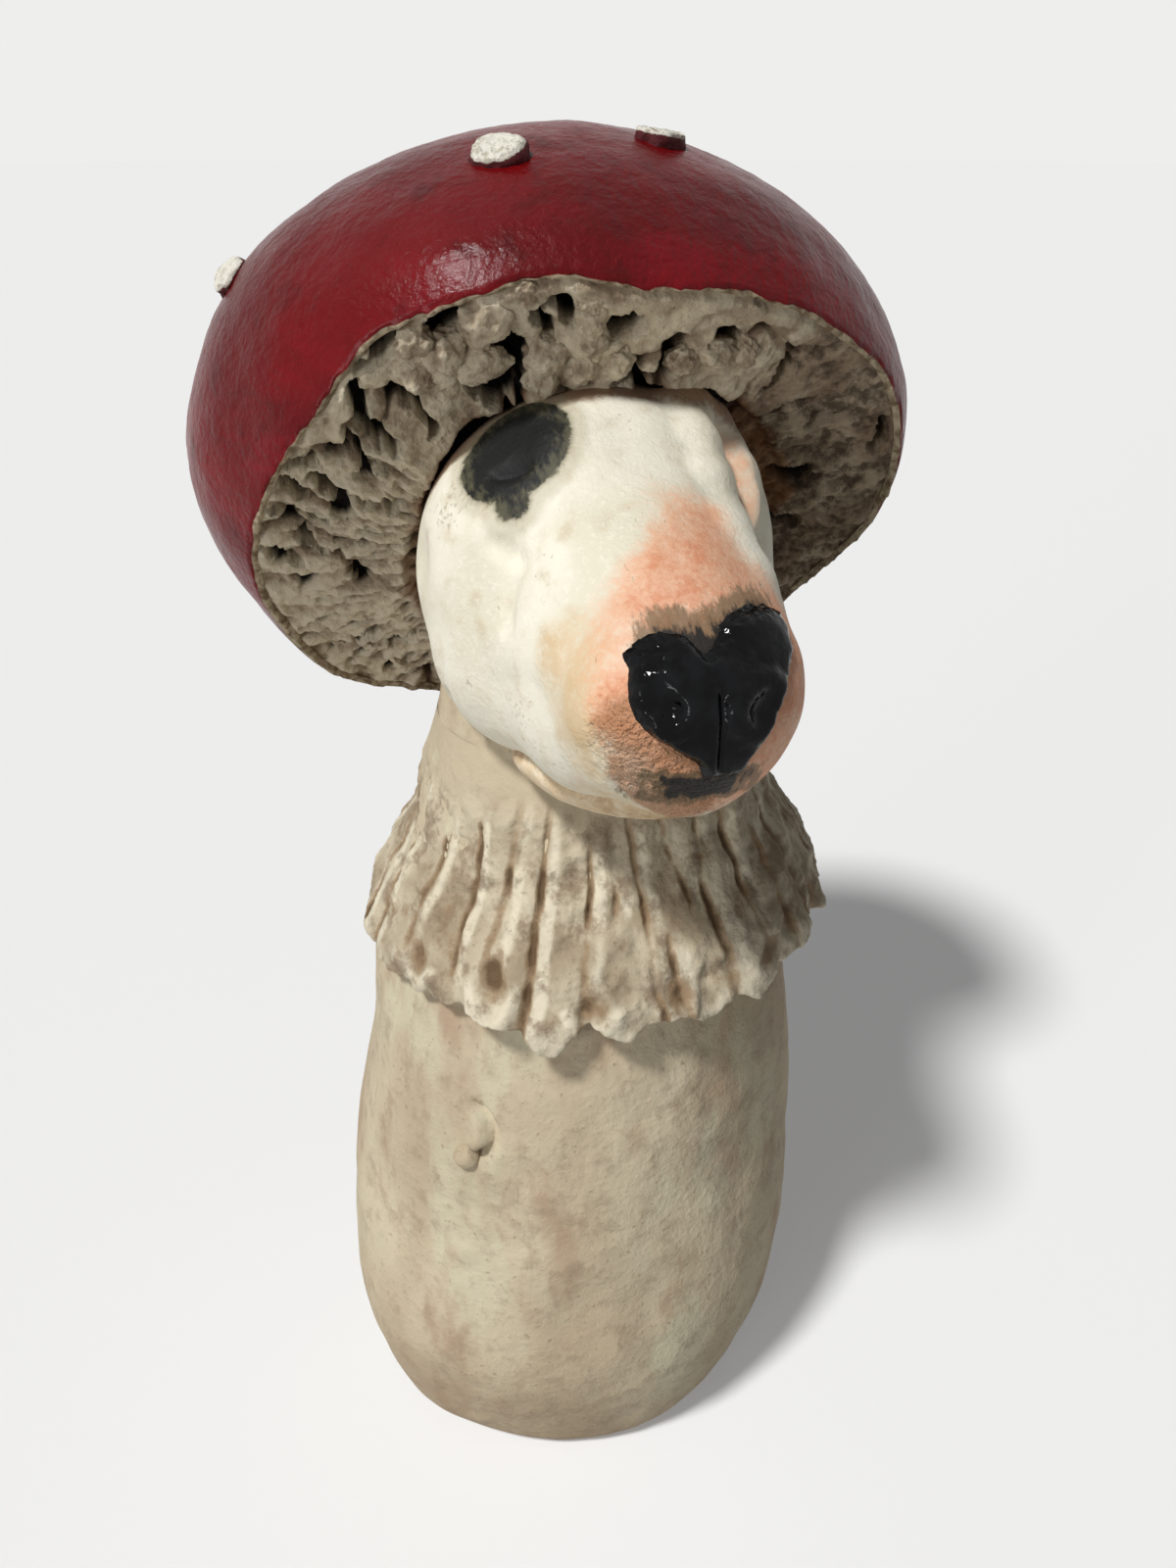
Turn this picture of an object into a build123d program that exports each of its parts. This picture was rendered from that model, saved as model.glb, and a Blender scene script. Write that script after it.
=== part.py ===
"""Hand-built ceramic toadstool with a dog's head looking out from under its cap, in millimetres.

The foot stands on Z = 0 with its middle at the origin, and the dog looks along -Y. Each piece that a
potter would make and join with slip is a solid of its own, cut to the piece that it is pressed against.
"""

import os
from math import cos, radians, sin, sqrt

from build123d import *

# Stem: a closed, hollow, tapering tube that leans a little to the dog's left, its bulge and waist
# measured up from the floor and its shoulder and neck down from the top
stem_height = 152.0
foot_radius = 31.0
bulge_radius = 38.0
bulge_height = 25.0
waist_radius = 36.0
waist_height = 58.0
shoulder_radius = 31.0
shoulder_drop = 57.0
neck_radius = 21.0
neck_length = 18.0
stem_wall = 6.0
stem_lean = 2.2
foot_trim = 3.0
foot_thickness = 6.0
vent_radius = 3.0
vent_offset = 12.0

# Skirt: a pleated collar of clay pulled down from the neck, a little askew
skirt_drop = 30.0
skirt_length = 30.0
skirt_radius = 36.0
skirt_top_lip = 0.9
skirt_edge = 2.8
skirt_seat = 8.0
skirt_lean = 4.0
skirt_turn = -18.0
pleat_count = 22
pleat_depth = 1.4
pleat_radius = 2.6

# Cap: a hollow bun tilted back over the head, cut open at the front
cap_radius = 51.0
cap_half_height = 39.0
cap_wall = 3.0
cap_x = 5.5
cap_y = 22.9
cap_rise = 5.0
cap_tilt = 34.0
cap_turn = 4.5
mouth_tilt = 56.0
mouth_offset = 20.0

# Gills: a torn bed of clay that plugs the mouth of the cap, with crumbs pressed on above the brow
gill_recess = 1.0
gill_slip = 0.05
gill_thickness = 10.0
furrow_count = 26
furrow_radius = 1.7
furrow_span = 230.0
furrow_start = 18.0
crumb_radius = 3.2
crumb_rows = 2
crumbs_in_row = 8
crumb_spread = 84.0
crumb_inset = 10.2
crumb_pitch = 6.8

# Warts: flat pellets on the cap, each at (degrees down from the cap's axis, degrees round it)
wart_radius = 4.0
wart_height = 2.6
wart_sides = 7
wart_root = 3.0
wart_places = [(63, 257), (55, 284), (62, 203), (20, 20), (38, 345), (60, 60), (58, 115), (75, 20), (32, 150)]

# Head: an egg with a long muzzle, set over the top of the stem
head_x = 3.2
head_wall = 6.0
head_drop = 3.0
cranium_half_width = 23.4
cranium_half_height = 23.5
cranium_y = -10.0
muzzle_half_width = 14.5
muzzle_half_height = 14.0
muzzle_y = -38.0
muzzle_drop = 5.0
head_back_y = 16.0
nose_tip_y = -49.0
mouth_line_drop = 11.0
mouth_line_width = 1.0
mouth_line_depth = 1.5

# Nose: a black pad over the end of the muzzle
nose_thickness = 1.8
nose_half_width = 8.5
nose_rise = 9.5
nose_fall = 5.0
nostril_radius = 1.7

# Eyes: hollows pressed into the head, at a part of the way along it and an angle above its side
eye_radius = 6.0
eye_depth = 2.2
eye_along = 0.26
eye_angle = 56.0

# Lower jaw: a roll of clay under the muzzle
jaw_half_height = 6.0
jaw_drop = 2.2
jaw_share = 0.62

# Pip: a pellet pressed on the stem, at a height and an angle round it
pip_radius = 1.8
pip_height = 69.0
pip_angle = 225.0

# Places that follow from the sizes above
shoulder_height = stem_height - shoulder_drop
neck_height = stem_height - neck_length
skirt_top = stem_height - skirt_drop
skirt_bottom = skirt_top - skirt_length
cap_centre = (cap_x, cap_y, stem_height + cap_rise)
cranium_z = stem_height - head_drop
muzzle_z = cranium_z - muzzle_drop
mouth_line_z = muzzle_z - mouth_line_drop
nose_top = muzzle_z + nose_rise
nose_bottom = muzzle_z - nose_fall

# Handle length that makes a cubic curve follow a quarter of an ellipse
ROUND = 0.5523

STEM = Rot(0, stem_lean, 0)


def tilted(angle):
    """A place at the middle of the cap, leaning by an angle toward the cap's back."""
    return Pos(*cap_centre) * Rot(0, 0, -cap_turn) * Rot(-angle, 0, 0)


CAP = tilted(cap_tilt)
MOUTH = tilted(mouth_tilt) * Pos(0, 0, -mouth_offset)


def stem_outline(inset):
    """The stem's side from foot to closed top, moved in by the inset."""
    points = [
        (foot_radius - inset, 0),
        (bulge_radius - inset, bulge_height),
        (waist_radius - inset, waist_height),
        (shoulder_radius - inset, shoulder_height),
        (neck_radius - inset, neck_height),
        (0, stem_height - inset),
    ]
    return Spline(*points, tangents=[(0.7, 1), (-1, 0)])


def radius_at(curve, height):
    """The radius at which an outline reaches a height, found by halving."""
    low, high = 0.0, 1.0
    for _ in range(40):
        middle = (low + high) / 2
        if (curve @ middle).Y < height:
            low = middle
        else:
            high = middle
    return (curve @ low).X


def turned(profile):
    """A closed profile drawn in X and Y, stood up and turned round the vertical axis."""
    return revolve(Plane.XZ * make_face(profile), Axis.Z)


def stem_solid(inset):
    """The stem's body moved in by the inset, filled, leaning and trimmed flat at the floor."""
    side = stem_outline(inset)
    foot = foot_radius - inset
    edges = Polyline((0, stem_height - inset), (0, -foot_trim), (foot, -foot_trim), (foot, 0))
    return split(STEM * turned(side + edges), Plane.XY, keep=Keep.TOP)


def foot_disc():
    slab = Pos(0, 0, foot_thickness / 2) * Box(4 * bulge_radius, 4 * bulge_radius, foot_thickness)
    return (stem_solid(stem_wall) & slab) - Pos(0, vent_offset, 0) * Cylinder(vent_radius, 4 * foot_thickness)


def pip(stem):
    place = Rot(0, 0, pip_angle) * Pos(radius_at(stem_outline(0), pip_height), 0, pip_height)
    return STEM * place * Sphere(pip_radius) - stem


def skirt(stem):
    """The collar's turned blank with its pleats drawn down it and the hem nipped between them."""
    top = radius_at(stem_outline(0), skirt_top) + skirt_top_lip
    height = skirt_top - skirt_bottom
    core = neck_radius / 2
    flare = Spline((top, skirt_top), (top + 0.45 * (skirt_radius - top), skirt_top - 0.52 * height),
                   (skirt_radius, skirt_bottom + skirt_edge), tangents=[(0.2, -1), (1, -1)])
    hem = Polyline((skirt_radius, skirt_bottom + skirt_edge), (skirt_radius - 0.6 * skirt_edge, skirt_bottom),
                   (core, skirt_bottom + skirt_seat), (core, skirt_top), (top, skirt_top))
    blank = turned(flare + hem)
    upper = Vector(top, 0, skirt_top)
    lower = Vector(skirt_radius, 0, skirt_bottom + skirt_edge)
    run = (lower - upper).normalized()
    out = Vector(-run.Z, 0, run.X)
    cutters = []
    for i in range(pleat_count):
        turn = Rot(0, 0, 360 / pleat_count * (i + 0.22 * sin(2.4 * i)))
        depth = pleat_depth * (1 + 0.3 * sin(1.7 * i + 1))
        start = upper - run * 2 + out * pleat_radius * 0.35
        end = lower + run * 6 + out * (pleat_radius * 1.25 - depth)
        length = (end - start).length
        cone = Pos(0, 0, length / 2) * Cone(0.4 * pleat_radius, 1.25 * pleat_radius, length)
        nip = Rot(0, 90, 0) * Cylinder(0.9 * pleat_radius, 8)
        cutters.append(turn * Plane(origin=start, z_dir=end - start).location * cone)
        cutters.append(turn * Pos(skirt_radius, 0, skirt_bottom - 0.2 * pleat_radius) * nip)
    askew = Pos(0, 0, skirt_top) * Rot(0, 0, skirt_turn) * Rot(0, -skirt_lean, 0) * Pos(0, 0, -skirt_top)
    return STEM * askew * (blank - cutters) - stem


def spheroid(inset):
    """The cap's bun moved in by the inset, before its mouth is cut."""
    wide = cap_radius - inset
    tall = cap_half_height - inset
    below = Bezier((0, -tall), (ROUND * wide, -tall), (wide, -ROUND * tall), (wide, 0))
    above = Bezier((wide, 0), (wide, ROUND * tall), (ROUND * wide, tall), (0, tall))
    return CAP * turned(below + above + Line((0, tall), (0, -tall)))


def behind_mouth(shape, depth):
    """What lies deeper in the cap than a depth behind its mouth."""
    return split(shape, Plane(MOUTH * Pos(0, 0, depth)), keep=Keep.TOP)


def wart(down, around, ball, phase):
    """A torn pellet with uneven sides, its root cut to the cap."""
    wide = cap_radius * sin(radians(down))
    tall = cap_half_height * cos(radians(down))
    lean = Vector(sin(radians(down)) / cap_radius, 0, cos(radians(down)) / cap_half_height)
    place = CAP * Rot(0, 0, around) * Plane(origin=(wide, 0, tall), z_dir=lean).location
    rings = []
    for level, share in ((-wart_root, 1.05), (wart_height * 0.5, 0.95), (wart_height, 0.72)):
        corners = []
        for i in range(wart_sides):
            angle = 360 / wart_sides * (i + 0.2 * sin(3 * i + phase))
            reach = wart_radius * share * (1 + 0.16 * sin(2 * i + phase))
            corners.append((reach * cos(radians(angle)), 0.8 * reach * sin(radians(angle))))
        rings.append(Pos(0, 0, level) * make_face(Polyline(*corners, close=True)))
    return place * loft(rings, ruled=True) - ball


def oval(along):
    """Place along the head, middle height, half width and half height, from cranium (0) to muzzle (1)."""
    return (
        cranium_y + along * (muzzle_y - cranium_y),
        cranium_z + along * (muzzle_z - cranium_z),
        cranium_half_width + along * (muzzle_half_width - cranium_half_width),
        cranium_half_height + along * (muzzle_half_height - cranium_half_height),
    )


def section(y, z, half_width, half_height):
    """An upright oval across the head at one place along it."""
    place = Plane(origin=(head_x, y, z), x_dir=(1, 0, 0), z_dir=(0, -1, 0))
    return place * Ellipse(half_width, half_height)


def head_solid(inset):
    """The head as a loft of ovals from behind the brow to the end of the muzzle, moved in by the inset."""
    ovals = []
    for back, share in ((0.95, 0.45), (0.7, 0.75), (0.35, 0.94)):
        y = cranium_y + back * (head_back_y - inset - cranium_y)
        ovals.append((y, cranium_z, share * cranium_half_width, share * cranium_half_height))
    for along in (0.0, 0.5, 1.0):
        ovals.append(oval(along))
    for step in (0.55, 0.85, 0.97):
        shrink = sqrt(1 - step * step)
        y = muzzle_y + (nose_tip_y + inset - muzzle_y) * step
        ovals.append((y, muzzle_z, muzzle_half_width * shrink, muzzle_half_height * shrink))
    return loft([section(y, z, w - inset, h - inset) for y, z, w, h in ovals if min(w, h) > inset + 1])


def head(stem, outer):
    """The hollow head with its eyes pressed in and its mouth line scored, set over the neck."""
    shell = outer - head_solid(head_wall) - stem
    y, z, half_width, half_height = oval(eye_along)
    lift = eye_radius - eye_depth
    side = (half_width + lift) * cos(radians(eye_angle))
    rise = (half_height + lift) * sin(radians(eye_angle))
    for way in (-1, 1):
        shell -= Pos(head_x + way * side, y, z + rise) * Sphere(eye_radius)
    reach = 4 * cranium_half_width
    slab = Pos(head_x, cranium_y - reach / 2, mouth_line_z) * Box(reach, reach, mouth_line_width)
    return shell - ((outer - head_solid(mouth_line_depth)) & slab)


def lower_jaw(stem, outer):
    rings = []
    for along in (0.05, 0.4, 0.75, 1.0):
        y, z, half_width, half_height = oval(along)
        rings.append(section(y, z - half_height + jaw_half_height - jaw_drop, jaw_share * half_width,
                             jaw_half_height))
    return loft(rings) - outer - stem


def nose(outer):
    """A heart-shaped pad that follows the end of the muzzle, with two nostrils and a centre groove."""
    tall = nose_top - nose_bottom
    corners = [
        (-0.9 * nose_half_width, nose_top),
        (0, nose_top - 0.1 * tall),
        (0.9 * nose_half_width, nose_top),
        (nose_half_width, nose_top - 0.4 * tall),
        (0.4 * nose_half_width, nose_bottom),
        (-0.4 * nose_half_width, nose_bottom),
        (-nose_half_width, nose_top - 0.4 * tall),
    ]
    length = muzzle_y - nose_tip_y + 2 * nose_thickness
    front = Plane(origin=(head_x, muzzle_y, 0), x_dir=(1, 0, 0), z_dir=(0, -1, 0))
    heart = extrude(front * make_face(Polyline(*corners, close=True)), length)
    pad = (heart & head_solid(-nose_thickness)) - outer
    middle = nose_top - 0.42 * tall
    for way in (-1, 1):
        pad -= Pos(head_x + way * 0.62 * nose_half_width, nose_tip_y, middle) * Sphere(nostril_radius)
    groove = Pos(head_x, nose_tip_y - nose_thickness, middle - tall / 2) * Cylinder(0.4 * nostril_radius, tall)
    return pad - groove


def gill_place(angle, reach, depth):
    """A place on the gills, an angle round the mouth and a reach out from the middle, turned to point out."""
    return MOUTH * Rot(0, 0, angle) * Pos(reach, 0, depth)


def gill_bed(stem, outer, collar):
    """A plug of clay in the cap's mouth, pressed over head, neck and skirt, with furrows drawn outward."""
    plug = behind_mouth(spheroid(cap_wall + gill_slip), gill_recess)
    plug -= behind_mouth(plug, gill_recess + gill_thickness)
    cutters = []
    length = cap_radius - furrow_start
    for i in range(furrow_count):
        angle = 90 + furrow_span * ((i + 0.5 + 0.2 * sin(2.7 * i)) / furrow_count - 0.5)
        size = furrow_radius * (1 + 0.3 * sin(1.9 * i))
        place = gill_place(angle, furrow_start + length / 2, gill_recess)
        cutters.append(place * Rot(0, 90, 0) * Cone(0.3, size, length))
    return plug - outer - stem - collar - cutters


def gill_crumbs(bed, outer):
    """Pellets pressed on the bed above the brow, clear of the cap."""
    crumbs = []
    room = spheroid(cap_wall + gill_slip)
    for row in range(crumb_rows):
        for i in range(crumbs_in_row):
            angle = -90 + crumb_spread * ((i + 0.5 * row) / (crumbs_in_row - 0.5) - 0.5)
            size = crumb_radius * (0.88 + 0.12 * sin(2.3 * i + 2 * row))
            reach = cap_radius - crumb_inset - crumb_pitch * (crumb_rows - 1 - row)
            ball = gill_place(angle, reach, gill_recess) * Sphere(size)
            crumbs.append((ball & room) - bed - outer)
    return Compound(children=crumbs)


os.makedirs("parts", exist_ok=True)

stem_outer = stem_solid(0)
head_outer = head_solid(0)
cap_outer = spheroid(0)
collar = skirt(stem_outer)
bed = gill_bed(stem_outer, head_outer, collar)

export_step(stem_outer - stem_solid(stem_wall), "parts/stem_wall.step")
export_step(foot_disc(), "parts/foot_disc.step")
export_step(pip(stem_outer), "parts/stem_pip.step")
export_step(collar, "parts/ring_skirt.step")
export_step(head(stem_outer, head_outer), "parts/dog_head.step")
export_step(lower_jaw(stem_outer, head_outer), "parts/lower_jaw.step")
export_step(nose(head_outer), "parts/nose_pad.step")
export_step(behind_mouth(cap_outer, 0) - behind_mouth(spheroid(cap_wall), -cap_wall), "parts/cap_dome.step")
export_step(bed, "parts/gill_bed.step")
export_step(gill_crumbs(bed, head_outer), "parts/gill_crumbs.step")
for number, (down, around) in enumerate(wart_places, start=1):
    export_step(wart(down, around, cap_outer, number), f"parts/wart_{number}.step")
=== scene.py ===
import random
from math import acos, atan2, cos, degrees, pi, radians, sin, sqrt, tan

import bmesh
import bpy
from mathutils import Matrix, Vector, noise


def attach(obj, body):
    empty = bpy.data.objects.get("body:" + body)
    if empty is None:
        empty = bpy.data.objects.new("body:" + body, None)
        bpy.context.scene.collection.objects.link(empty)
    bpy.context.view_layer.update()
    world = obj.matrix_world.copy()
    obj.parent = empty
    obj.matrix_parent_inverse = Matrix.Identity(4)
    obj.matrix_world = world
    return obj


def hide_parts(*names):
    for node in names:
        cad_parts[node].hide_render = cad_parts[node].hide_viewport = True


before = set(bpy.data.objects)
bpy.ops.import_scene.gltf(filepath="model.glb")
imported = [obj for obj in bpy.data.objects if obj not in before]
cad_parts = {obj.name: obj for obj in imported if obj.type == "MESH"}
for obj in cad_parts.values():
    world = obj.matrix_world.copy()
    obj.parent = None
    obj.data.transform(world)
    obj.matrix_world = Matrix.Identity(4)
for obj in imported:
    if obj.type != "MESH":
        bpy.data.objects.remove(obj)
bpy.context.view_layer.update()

scene = bpy.context.scene

# Lengths are worked out in millimetres, in the part's own frame, and turned to metres when a piece is made
MM = 0.001

# Sizes repeated from the part's source
STEM_SIDE = [(0, 31.5), (25, 38.0), (58, 36.0), (90, 31.3), (110, 25.4), (122, 22.9), (134, 21.0)]
STEM_TOP = 152.0
STEM_LEAN = tan(radians(2.2))
SKIRT_TOP, SKIRT_HEM, SKIRT_LEAN = 127.5, 92.5, 4.0
CAP_RADIUS, CAP_HALF_HEIGHT, CAP_WALL = 51.0, 39.0, 3.0
CAP_MIDDLE = Vector((5.5, 22.9, 157.0))
CAP_TURN, CAP_TILT, MOUTH_TILT, MOUTH_OFFSET, MOUTH_SHIFT = 4.5, 34.0, 56.0, 20.0, 4.5
HEAD_X = 3.2
WARTS = [(63, 257), (55, 284), (62, 203), (20, 20), (38, 345), (60, 60), (58, 115), (75, 20), (32, 150)]

# How far round the object the camera stands and how far down it looks, in degrees
VIEW_TURN, VIEW_DOWN = -18.0, 29


def smooth(low, high, value):
    """0 at low, 1 at high, an easy slope between them and level beyond them."""
    share = min(1.0, max(0.0, (value - low) / (high - low)))
    return share * share * (3 - 2 * share)


def dab(distance, radius):
    """The soft round mark of a thumb: 1 in the middle and 0 from the radius on."""
    share = distance / radius
    return (1 - share * share) ** 2 if share < 1 else 0.0


def grain(point, size, seed=0.0):
    """Smooth random lumps of about a size, from -1 to 1."""
    return noise.noise(point / size + Vector((seed, 1.7 * seed, 2.3 * seed)))


def rough(point, size, seed=0.0, octaves=4):
    """Random lumps with smaller lumps on them."""
    return noise.fractal(point / size + Vector((seed, 1.7 * seed, 2.3 * seed)), 0.9, 2.1, octaves)


def popcorn(point, size, seed=0.0):
    """Rounded bumps pressed together, from 0 in the creases to 1 on top."""
    near = noise.voronoi(point / size + Vector((seed, 2 * seed, 3 * seed)))[0][0]
    return sqrt(max(0.0, 1 - min(1.0, 1.1 * near) ** 2))


def along(stations, place):
    """A smooth curve through stations of (place, value), read at a place."""
    last = len(stations) - 1
    if place <= stations[0][0]:
        return stations[0][1]
    if place >= stations[last][0]:
        return stations[last][1]
    i = 0
    while stations[i + 1][0] < place:
        i += 1

    def slope(k):
        low, high = stations[max(k - 1, 0)], stations[min(k + 1, last)]
        return (high[1] - low[1]) / (high[0] - low[0])

    (x0, y0), (x1, y1) = stations[i], stations[i + 1]
    span = x1 - x0
    t = (place - x0) / span
    a = (1 + 2 * t) * (1 - t) ** 2 * y0 + t * t * (3 - 2 * t) * y1
    return a + span * (t * (1 - t) ** 2 * slope(i) + t * t * (t - 1) * slope(i + 1))


def angle_past(turn, middle):
    """How many degrees an angle lies past another, from -180 to 180."""
    return (turn - middle + 180) % 360 - 180


def near_line(point, start, end):
    """How far a point lies from a straight line between two points."""
    run = end - start
    share = min(1.0, max(0.0, (point - start).dot(run) / run.length_squared))
    return (point - start - run * share).length


def tilted(angle):
    """The frame at the middle of the cap that leans by an angle toward the cap's back."""
    turn = Matrix.Rotation(radians(-CAP_TURN), 4, "Z") @ Matrix.Rotation(radians(-angle), 4, "X")
    return Matrix.Translation(CAP_MIDDLE) @ turn


CAP = tilted(CAP_TILT)
CAP_BACK = CAP.inverted()
MOUTH = tilted(MOUTH_TILT) @ Matrix.Translation((0, -MOUTH_SHIFT, -MOUTH_OFFSET))
MOUTH_BACK = MOUTH.inverted()
MOUTH_AXES = MOUTH.to_3x3()
MOUTH_MIDDLE = MOUTH.translation
MOUTH_IN = MOUTH_AXES @ Vector((0, 0, 1))


def to_cap(origin, direction, inset):
    """How far a line from inside the cap runs before it meets the bun, moved in by an inset."""
    wide, tall = CAP_RADIUS - inset, CAP_HALF_HEIGHT - inset
    start = CAP_BACK @ origin
    way = CAP_BACK.to_3x3() @ direction
    start = Vector((start.x / wide, start.y / wide, start.z / tall))
    way = Vector((way.x / wide, way.y / wide, way.z / tall))
    a, b, c = way.dot(way), start.dot(way), start.dot(start) - 1
    return (sqrt(b * b - a * c) - b) / a


def cap_normal(point):
    """The outward direction of the bun at a point."""
    local = CAP_BACK @ point
    lean = Vector((local.x / CAP_RADIUS ** 2, local.y / CAP_RADIUS ** 2, local.z / CAP_HALF_HEIGHT ** 2))
    return (CAP.to_3x3() @ lean).normalized()


def stem_radius(height):
    """The stem's radius at a height, rounded over at its closed top."""
    last = STEM_SIDE[-1][0]
    if height <= last:
        return along(STEM_SIDE, height)
    return STEM_SIDE[-1][1] * sqrt(max(0.0, 1 - ((height - last) / (STEM_TOP - last)) ** 2))


def settle(bm, names, place):
    """Moves each point of a mesh to where place sends it, with the values it carries under the names."""
    layers = [bm.verts.layers.float.new(name) for name in names]
    for v in bm.verts:
        v.co, *values = place(v.co.copy())
        for layer, value in zip(layers, values):
            v[layer] = value
    return bm


def ball(around, rows, names, place):
    """A closed ball, laid out by place from an angle round it and a share of the way from bottom to top."""
    bm = bmesh.new()
    bmesh.ops.create_uvsphere(bm, u_segments=around, v_segments=rows, radius=1)
    return settle(bm, names, lambda co: place(atan2(co.y, co.x), acos(max(-1.0, min(1.0, -co.z))) / pi))


def ring(around, rows, names, place):
    """A closed ring, laid out by place from an angle round it and a share of the way round its section."""
    bm = bmesh.new()
    bmesh.ops.create_grid(bm, x_segments=around, y_segments=rows, size=1)
    settle(bm, names, lambda co: place(pi * (co.x + 1), (co.y + 1) / 2))
    bmesh.ops.remove_doubles(bm, verts=bm.verts, dist=1e-4)
    return bm


def pellet(subdivisions, names, place):
    """A closed lump, laid out by place from directions spread evenly over a ball."""
    bm = bmesh.new()
    bmesh.ops.create_icosphere(bm, subdivisions=subdivisions, radius=1)
    return settle(bm, names, lambda co: place(co.normalized()))


def make_piece(bm, name, material, slot, *nodes):
    """Turns a shaped mesh into a piece of the object that stands for CAD nodes."""
    bmesh.ops.recalc_face_normals(bm, faces=bm.faces)
    bmesh.ops.scale(bm, vec=(MM, MM, MM), verts=bm.verts)
    for face in bm.faces:
        face.smooth = True
    mesh = bpy.data.meshes.new(name)
    bm.to_mesh(mesh)
    bm.free()
    mesh.materials.append(material)
    piece = bpy.data.objects.new(name, mesh)
    scene.collection.objects.link(piece)
    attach(piece, "root")
    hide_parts(*nodes)


# Materials

# A pattern's scale is one over its real size, because the coordinates are in millimetres

def colour(code):
    """An sRGB hex colour as linear values."""
    parts = [int(code[i:i + 2], 16) / 255 for i in (1, 3, 5)]
    return [c / 12.92 if c <= 0.04045 else ((c + 0.055) / 1.055) ** 2.4 for c in parts] + [1.0]


def add(tree, kind, *values, output=None, **settings):
    """Adds a node and gives an output: values fill inputs in order, settings go to properties or inputs."""
    made = tree.nodes.new("ShaderNode" + kind)
    named = {key.replace("_", " "): value for key, value in settings.items() if not hasattr(made, key)}
    for key, value in settings.items():
        if hasattr(made, key):
            setattr(made, key, value)
    ready = [socket for socket in made.inputs if socket.enabled]
    filled = list(zip(ready, values))
    filled += [(made.inputs[key], value) for key, value in named.items()]
    for socket, value in filled:
        if isinstance(value, bpy.types.NodeSocket):
            tree.links.new(value, socket)
        else:
            socket.default_value = colour(value) if isinstance(value, str) else value
    if output:
        return made.outputs[output]
    return next((socket for socket in made.outputs if socket.enabled), None)


def wash(tree, tint, *layers):
    """Lays colours over a tint, each where a value goes from low to high, up to a share of full cover."""
    for over, where, low, high, most in layers:
        share = add(tree, "MapRange", where, low, high, 0.0, most, interpolation_type="SMOOTHSTEP")
        tint = add(tree, "Mix", share, tint, over, data_type="RGBA")
    return tint


def bare_material(name, *carried):
    """A new material, its tree, the piece's own place in millimetres, and values that its mesh carries."""
    material = bpy.data.materials.new(name)
    material.use_nodes = True
    tree = material.node_tree
    tree.nodes.clear()
    place = add(tree, "VectorMath", add(tree, "TexCoord", output="Object"), 1 / MM, operation="SCALE")
    values = [add(tree, "Attribute", attribute_name=key, output="Fac") for key in carried]
    return material, tree, place, *values


def fired(material, tree, tint, relief, **surface):
    """Finishes a material: bumps from values and depths in millimetres, then its one principled shader."""
    bumps = {}
    for value, deep in relief:
        bumps["Normal"] = add(tree, "Bump", Height=value, Distance=deep * MM, **bumps)
    add(tree, "OutputMaterial", add(tree, "BsdfPrincipled", Base_Color=tint, **bumps, **surface))
    return material


def stem_clay():
    """Fired buff clay, sponged smooth: a matte skin with soft upright smears of brown and pale wash."""
    material, tree, place, foot = bare_material("fired_clay_washed", "foot")
    upright = add(tree, "VectorMath", place, (1.0, 1.0, 0.42), operation="MULTIPLY")
    broad = add(tree, "TexNoise", upright, Scale=1 / 22, Detail=3)
    pale = add(tree, "TexNoise", upright, Scale=1 / 14, Detail=4, Roughness=0.6)
    elsewhere = add(tree, "VectorMath", upright, (31.0, 7.0, 5.0))
    brown = add(tree, "TexNoise", elsewhere, Scale=1 / 13, Detail=4, Roughness=0.6)
    sponge = add(tree, "TexNoise", place, Scale=1 / 4, Detail=5, Roughness=0.65)
    specks = add(tree, "TexNoise", place, Scale=1 / 1.1, Detail=2)
    tint = wash(tree, "#b4a389", ("#c8bba0", broad, 0.36, 0.62, 1.0), ("#cac5aa", pale, 0.52, 0.68, 0.6),
                ("#9f836b", brown, 0.50, 0.68, 0.65), ("#917d68", sponge, 0.48, 0.70, 0.45),
                ("#846f57", foot, 0.0, 1.0, 0.75), ("#77634c", specks, 0.64, 0.76, 0.4))
    relief = [(sponge, 0.55), (specks, 0.1)]
    return fired(material, tree, tint, relief, Roughness=0.74, IOR=1.45, Specular_IOR_Level=0.3)


def skirt_clay():
    """Fired clay with a brown wash wiped off the high spots, so it stays in grooves, scoops and pits.
    Grooves and scoops are darkened further as painted shade, and the pleats' lit slopes and the scoops'
    lower lips are paler as painted highlight.
    """
    material, tree, place, hollow, ridge, neck = bare_material("fired_clay_wash_and_painted_light", *SKIRT_CARRIES)
    broad = add(tree, "TexNoise", place, Scale=1 / 10, Detail=3)
    sponge = add(tree, "TexNoise", place, Scale=1 / 4.2, Detail=6, Roughness=0.68)
    pits = add(tree, "TexNoise", place, Scale=1 / 0.8, Detail=3)
    # Darker in grooves and scoops: brown wash, deepened as painted shade
    held_wash_and_shade = add(tree, "Math", sponge, 1.5, hollow, operation="MULTIPLY_ADD")
    stains = add(tree, "TexNoise", place, Scale=1 / 6.5, Detail=6, Roughness=0.66)
    # Paler on ridges: wash wiped off, with painted highlight on the pleats' lit slopes and the scoops'
    # lower lips
    wiped_and_highlight = add(tree, "Math", sponge, 1.2, ridge, operation="MULTIPLY_ADD")
    tint = wash(tree, "#9e8f77", ("#beb29a", broad, 0.36, 0.62, 1.0), ("#ddd4bd", wiped_and_highlight, 0.6, 1.3, 0.75),
                ("#83705a", stains, 0.48, 0.62, 0.8), ("#8d7456", held_wash_and_shade, 0.85, 1.15, 0.75),
                ("#5a452f", held_wash_and_shade, 1.1, 1.6, 0.9), ("#6b543a", pits, 0.60, 0.74, 0.35),
                ("#beb096", neck, 0.0, 1.0, 0.85))
    relief = [(sponge, 0.5), (pits, 0.12)]
    return fired(material, tree, tint, relief, Roughness=0.7, IOR=1.45, Specular_IOR_Level=0.3)


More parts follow.
